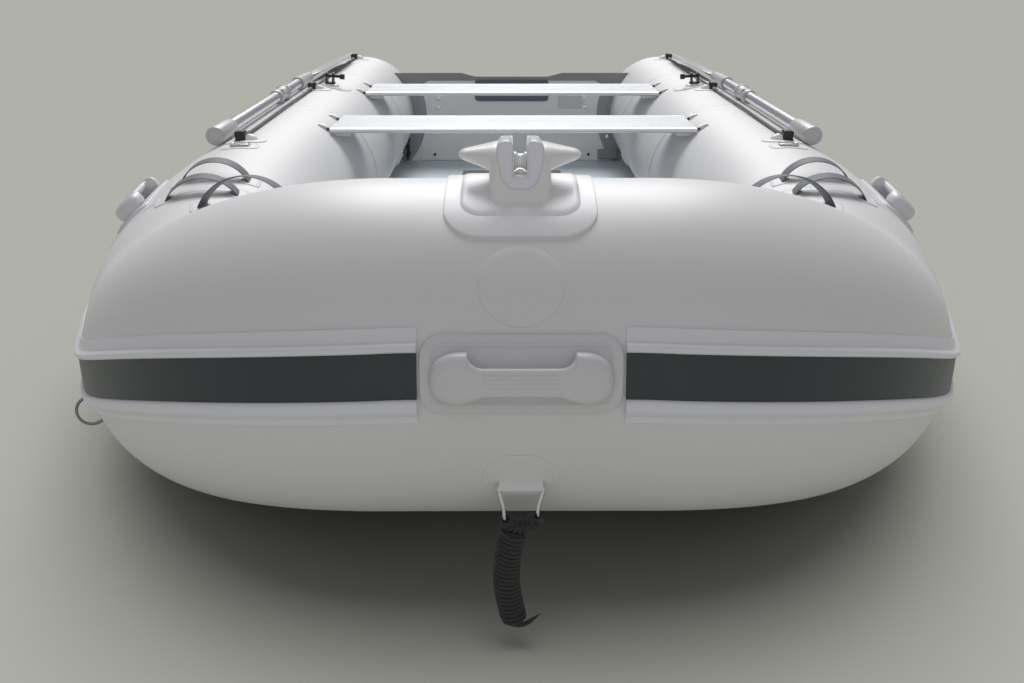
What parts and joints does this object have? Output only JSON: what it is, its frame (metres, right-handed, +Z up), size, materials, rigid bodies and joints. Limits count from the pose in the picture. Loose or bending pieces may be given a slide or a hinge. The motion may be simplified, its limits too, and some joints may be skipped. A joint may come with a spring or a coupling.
{
  "type": "inflatable boat",
  "caption": "Open inflatable boat with a raised blunt bow, aluminium deck, benches, transom, stowed oars and oarlocks.",
  "frame": {"origin": "on the floor under the middle of the overall box", "axes": "+Z up, -Y towards the bow, +X towards the port side"},
  "size_m": [1.6788, 3.5415, 0.6286],
  "materials": {
    "tube_fabric": "coated fabric, soft sheen",
    "strake_dark": "moulded rubber, dark slate grey",
    "strake_light": "moulded rubber, light lavender grey",
    "bottom_fabric": "coated fabric, grey",
    "deck_aluminium": "ribbed aluminium board",
    "bright_aluminium": "extruded, satin anodised",
    "transom_board": "laminated board, light grey",
    "grey_trim": "grey profile",
    "pad_plastic": "blue-grey moulded plate",
    "white_plastic": "moulded, light",
    "insert_plastic": "moulded, glossy lavender grey",
    "steel": "polished stainless steel",
    "black_plastic": "moulded, black",
    "webbing": "woven webbing, dark grey",
    "rope_grey": "braided rope, dark grey",
    "rope_black": "braided rope, black"
  },
  "bodies": {
    "hull": {"bench_brackets": "white_plastic", "bench_front": "bright_aluminium", "bench_rear": "bright_aluminium", "bow_cleat": "white_plastic", "bow_handle": "white_plastic", "bow_tube": "tube_fabric", "clamp_pad_inner": "pad_plastic", "clamp_pad_outer": "pad_plastic", "cleat_apron": "white_plastic", "fairlead_insert": "insert_plastic", "floor_boards": "deck_aluminium", "floor_joiners": "bright_aluminium", "floor_stringers": "bright_aluminium", "hull_bottom": "bottom_fabric", "keel_strip": "grey_trim", "lifeline_clips": "black_plastic", "lifelines": "rope_grey", "oarlock_bases": "white_plastic", "painter_hank": "rope_black", "roller_pin": "steel", "side_handle_port": "white_plastic", "side_handle_starboard": "white_plastic", "side_ring_tabs": "tube_fabric", "side_rings": "steel", "side_tube_port": "tube_fabric", "side_tube_starboard": "tube_fabric", "stern_cones": "tube_fabric", "strake_bands": "strake_dark", "strake_beads": "strake_light", "strap_bundle": "webbing", "top_ring_tabs": "white_plastic", "tow_ring": "steel", "tow_ring_tab": "tube_fabric", "transom": "transom_board", "transom_base_strip": "bright_aluminium", "transom_bolts": "steel", "transom_cap": "grey_trim", "valves": "white_plastic", "webbing_hoops_port": "webbing", "webbing_hoops_starboard": "webbing"},
    "bow_roller": {"bow_roller": "steel"},
    "oarlock_port": {"oarlock_pin_port": "black_plastic"},
    "oarlock_starboard": {"oarlock_pin_starboard": "black_plastic"},
    "oar_port": {"oar_shaft_port": "bright_aluminium", "oar_grip_port": "white_plastic", "oar_collar_port": "white_plastic", "oar_blade_port": "white_plastic"},
    "oar_starboard": {"oar_shaft_starboard": "bright_aluminium", "oar_grip_starboard": "white_plastic", "oar_collar_starboard": "white_plastic", "oar_blade_starboard": "white_plastic"}
  },
  "joints": [
    {"name": "bow_roller_spin", "type": "hinge", "parent": "hull", "child": "bow_roller", "pos_m": [0, -1.55225, 0.602], "axis": [1, 0, 0], "continuous": true},
    {"name": "oarlock_port_swivel", "type": "hinge", "parent": "hull", "child": "oarlock_port", "pos_m": [0.5975, 0.57075, 0.43731], "axis": [-0.0785, 0, 0.9969], "range_deg": [-90, 90]},
    {"name": "oarlock_starboard_swivel", "type": "hinge", "parent": "hull", "child": "oarlock_starboard", "pos_m": [-0.5975, 0.57075, 0.43731], "axis": [0.0785, 0, 0.9969], "range_deg": [-90, 90]},
    {"name": "oar_port_lift", "type": "slide", "parent": "hull", "child": "oar_port", "axis": [0.3535, 0, 0.9354], "range_m": [0, 0.25]},
    {"name": "oar_starboard_lift", "type": "slide", "parent": "hull", "child": "oar_starboard", "axis": [-0.3535, 0, 0.9354], "range_m": [0, 0.25]}
  ]
}
